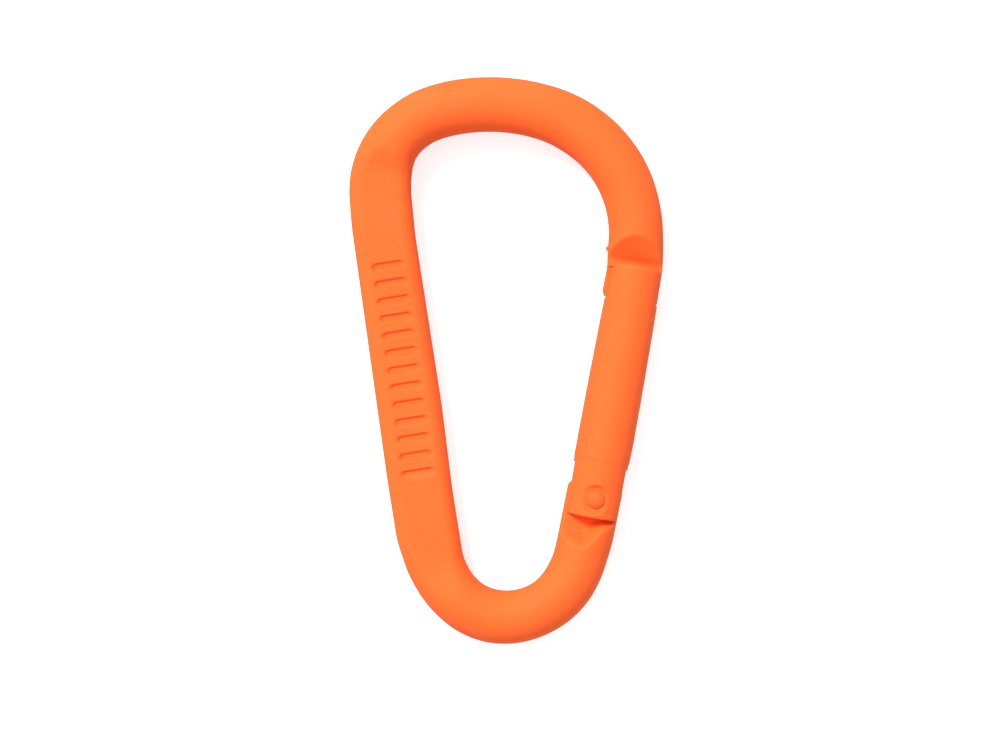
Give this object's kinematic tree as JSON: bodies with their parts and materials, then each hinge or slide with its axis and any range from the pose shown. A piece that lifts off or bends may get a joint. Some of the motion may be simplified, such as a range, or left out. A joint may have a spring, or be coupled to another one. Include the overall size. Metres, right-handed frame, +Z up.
{
  "type": "carabiner keyring",
  "caption": "Pear-shaped carabiner keyring of bent rod with a pressed flat spine and a sprung swing gate that opens inward on a rivet and latches on the nose.",
  "frame": {"origin": "centre of the bounding box, on the surface that the keyring lies on", "axes": "+Y towards the wide end, +X towards the gate, +Z up out of the surface"},
  "size_m": [0.0441, 0.08, 0.0078],
  "materials": {
    "coated_frame": "matte",
    "coated_gate": "matte",
    "coated_rivet": "matte",
    "steel": "satin"
  },
  "bodies": {
    "rod_body": {"frame": "coated_frame"},
    "gate_body": {"gate": "coated_gate", "hinge_rivet": "coated_rivet", "latch_stud_upper": "steel", "latch_stud_lower": "steel"},
    "plunger_body": {"spring_plunger": "steel", "gate_spring": "steel"}
  },
  "joints": [
    {"name": "gate_hinge", "type": "hinge", "parent": "rod_body", "child": "gate_body", "pos_m": [0.01259, -0.01961, 0.0039], "axis": [0, 0, 1], "range_deg": [0, 45], "stiffness_Nm_per_rad": 0.03, "springref_deg": -20.05},
    {"name": "plunger_slide", "type": "slide", "parent": "gate_body", "child": "plunger_body", "axis": [0.1765, 0.9843, 0], "range_m": [0, 0.002], "deforming": ["gate_spring"]}
  ],
  "couplings": [
    {"joint": "plunger_slide", "follows": "gate_hinge", "m_per_rad": 0.0025}
  ]
}
